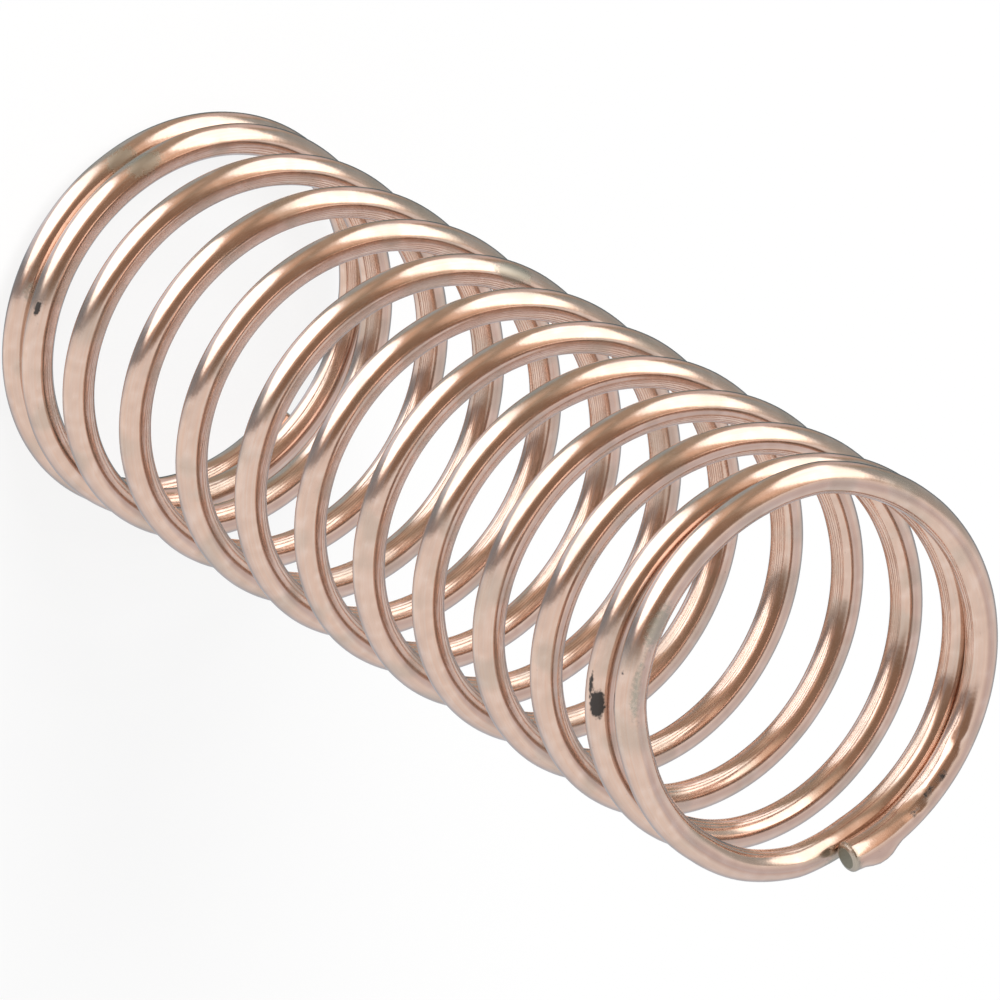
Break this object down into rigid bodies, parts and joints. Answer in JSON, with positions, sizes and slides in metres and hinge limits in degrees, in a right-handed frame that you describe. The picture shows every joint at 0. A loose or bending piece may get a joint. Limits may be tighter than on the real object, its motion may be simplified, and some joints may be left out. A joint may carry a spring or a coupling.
{
  "type": "coupler spring",
  "caption": "Small helical compression spring of round bronze wire, wound left-handed, with closed, unground ends.",
  "frame": {"origin": "on the coil's axis, at the level of the lowest point of the lower end turn", "axes": "+Z along the coil's axis, from the lower seat to the upper one; the wire ends at the top between +X and +Y, 45 degrees from each"},
  "size_m": [0.003, 0.003, 0.0083],
  "materials": {
    "bronze_wire": "polished"
  },
  "bodies": {
    "root": {"spring_coil": "bronze_wire"}
  },
  "joints": []
}
